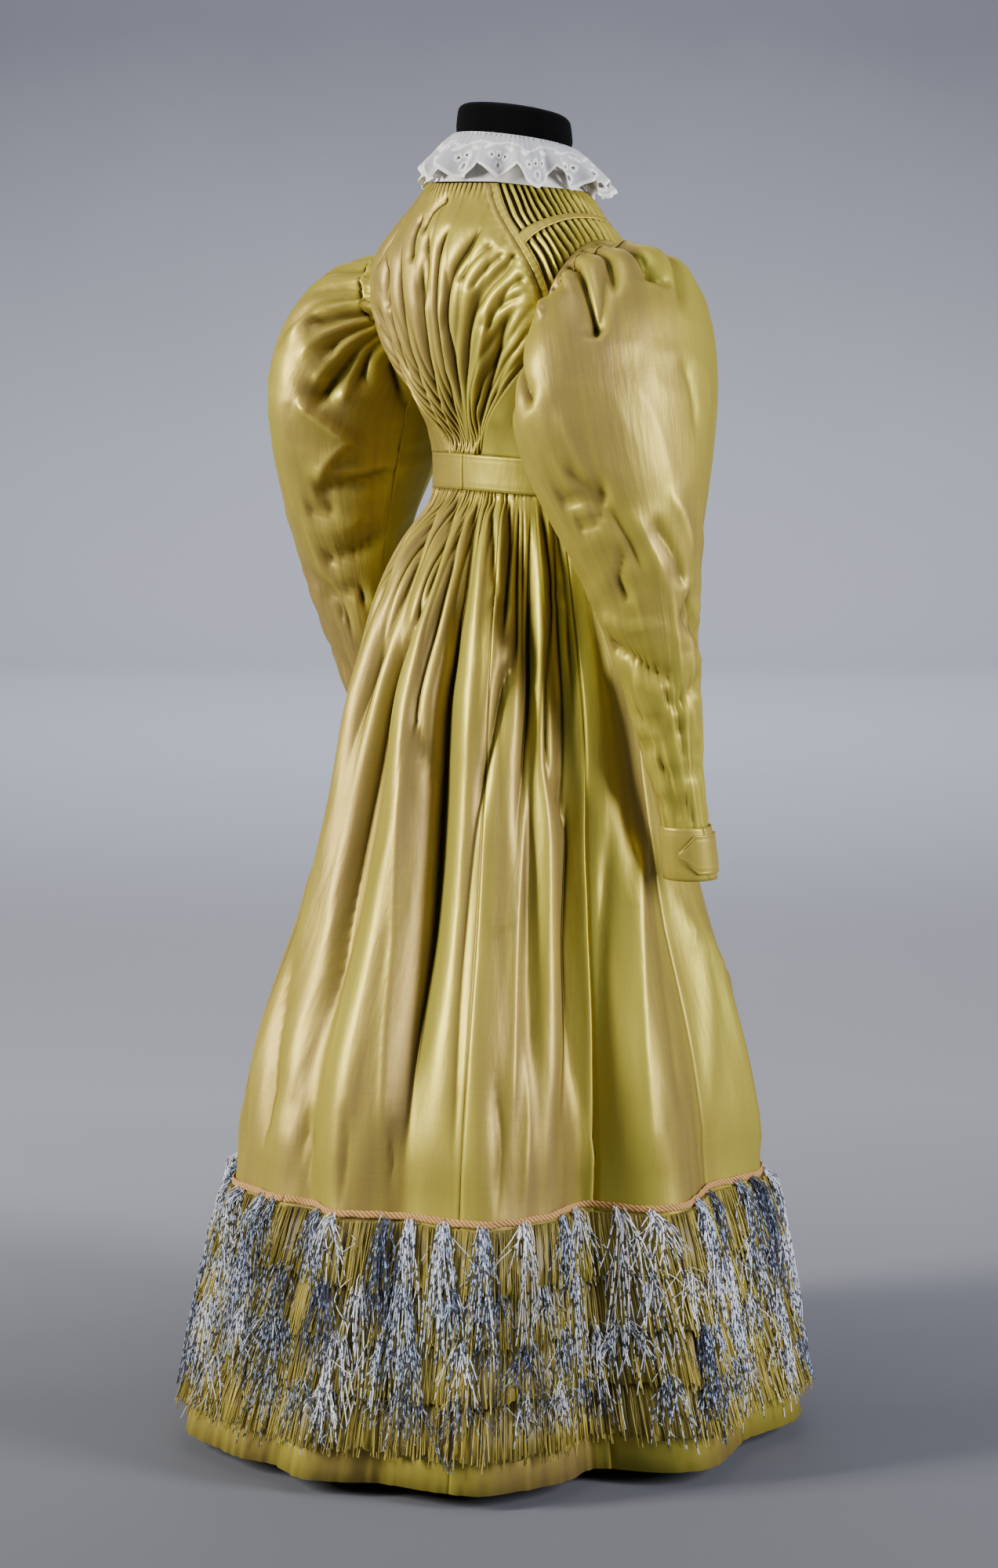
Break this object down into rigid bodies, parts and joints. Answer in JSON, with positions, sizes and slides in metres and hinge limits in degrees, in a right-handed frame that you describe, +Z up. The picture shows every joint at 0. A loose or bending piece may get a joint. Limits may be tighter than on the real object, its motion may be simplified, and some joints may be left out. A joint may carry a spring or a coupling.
{
  "type": "full-length dress on a limbless dress form",
  "caption": "Gathered silk dress with leg-of-mutton sleeves, a frilled collar and a deep fringe, worn by a limbless dress form.",
  "frame": {"origin": "on the floor under the pole, at the centre of the stand base's underside", "axes": "+Z up, the dress faces -Y, and its wearer's left is +X"},
  "size_m": [0.7198, 0.7382, 1.5055],
  "materials": {
    "silk": "crisp shot taffeta, olive gold with a tan-pink lustre",
    "linen": "fine white cotton with whitework",
    "thread": "dull green silk threads",
    "tape": "tan tape and knop yarn in blue and white",
    "jersey": "matt black cotton jersey",
    "steel": "black enamel"
  },
  "bodies": {
    "root": {"skirt_back": "silk", "skirt_back_left": "silk", "skirt_back_right": "silk", "skirt_side_left": "silk", "skirt_side_right": "silk", "skirt_front": "silk", "waistband": "silk", "bodice_back": "silk", "bodice_front": "silk", "bodice_side_left": "silk", "back_strip_left": "silk", "shoulder_pleats_upper_left": "silk", "shoulder_band_left": "silk", "shoulder_pleats_lower_left": "silk", "sleeve_left": "silk", "cuff_left": "silk", "cuff_tab_left": "silk", "bodice_side_right": "silk", "back_strip_right": "silk", "shoulder_pleats_upper_right": "silk", "shoulder_band_right": "silk", "shoulder_pleats_lower_right": "silk", "sleeve_right": "silk", "cuff_right": "silk", "cuff_tab_right": "silk", "collar_stand": "linen", "collar_frill": "linen", "fringe_braid": "tape", "fringe_row_1": "thread", "fringe_row_2": "thread", "fringe_row_3": "thread", "fringe_row_4": "thread", "form_torso": "jersey", "stand_pole": "steel", "stand_base": "steel"}
  },
  "joints": []
}
